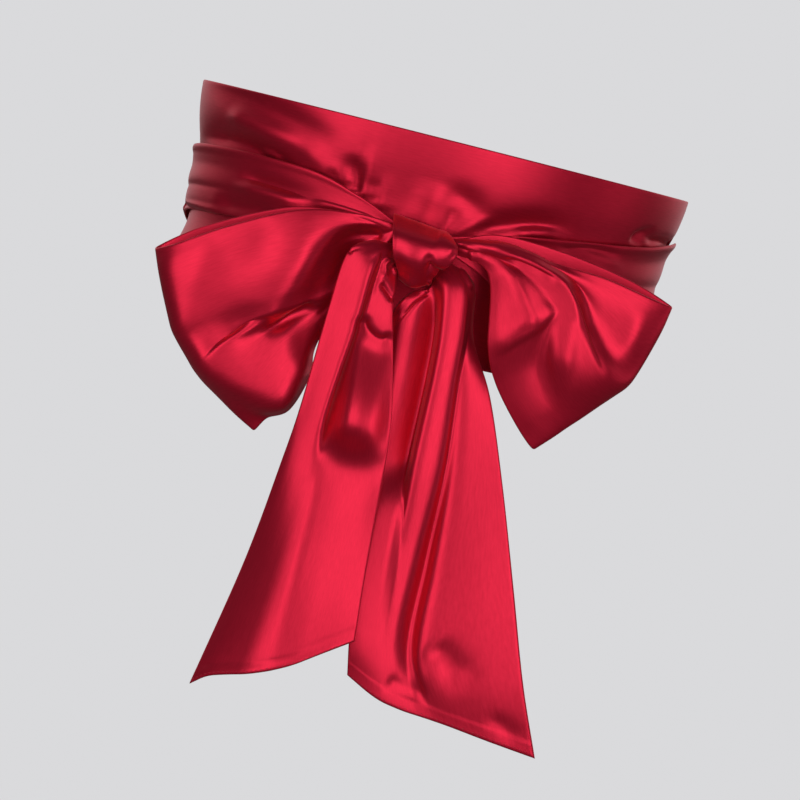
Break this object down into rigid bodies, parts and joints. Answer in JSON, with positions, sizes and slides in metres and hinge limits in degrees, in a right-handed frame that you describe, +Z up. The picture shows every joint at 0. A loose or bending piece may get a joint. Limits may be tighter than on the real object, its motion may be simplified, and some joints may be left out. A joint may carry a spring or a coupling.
{
  "type": "satin sash",
  "caption": "Satin waist sash worn in gathered wraps, tied at the front in a bow with open loops, a knot and slanted hanging tails.",
  "frame": {"origin": "middle of the worn waist, on the wearer's axis, at the height where the sash is held up", "axes": "+Z up the wearer's body, -Y to the front where the bow is, +X to the viewer's right"},
  "size_m": [0.2482, 0.2382, 0.2783],
  "materials": {
    "satin_band": "satin",
    "satin_bow": "satin"
  },
  "bodies": {
    "root": {"front_turn": "satin_band", "left_wrap": "satin_band", "right_wrap": "satin_band", "knot": "satin_bow", "left_loop": "satin_bow", "right_loop": "satin_bow", "left_tail": "satin_bow", "right_tail": "satin_bow"}
  },
  "joints": []
}
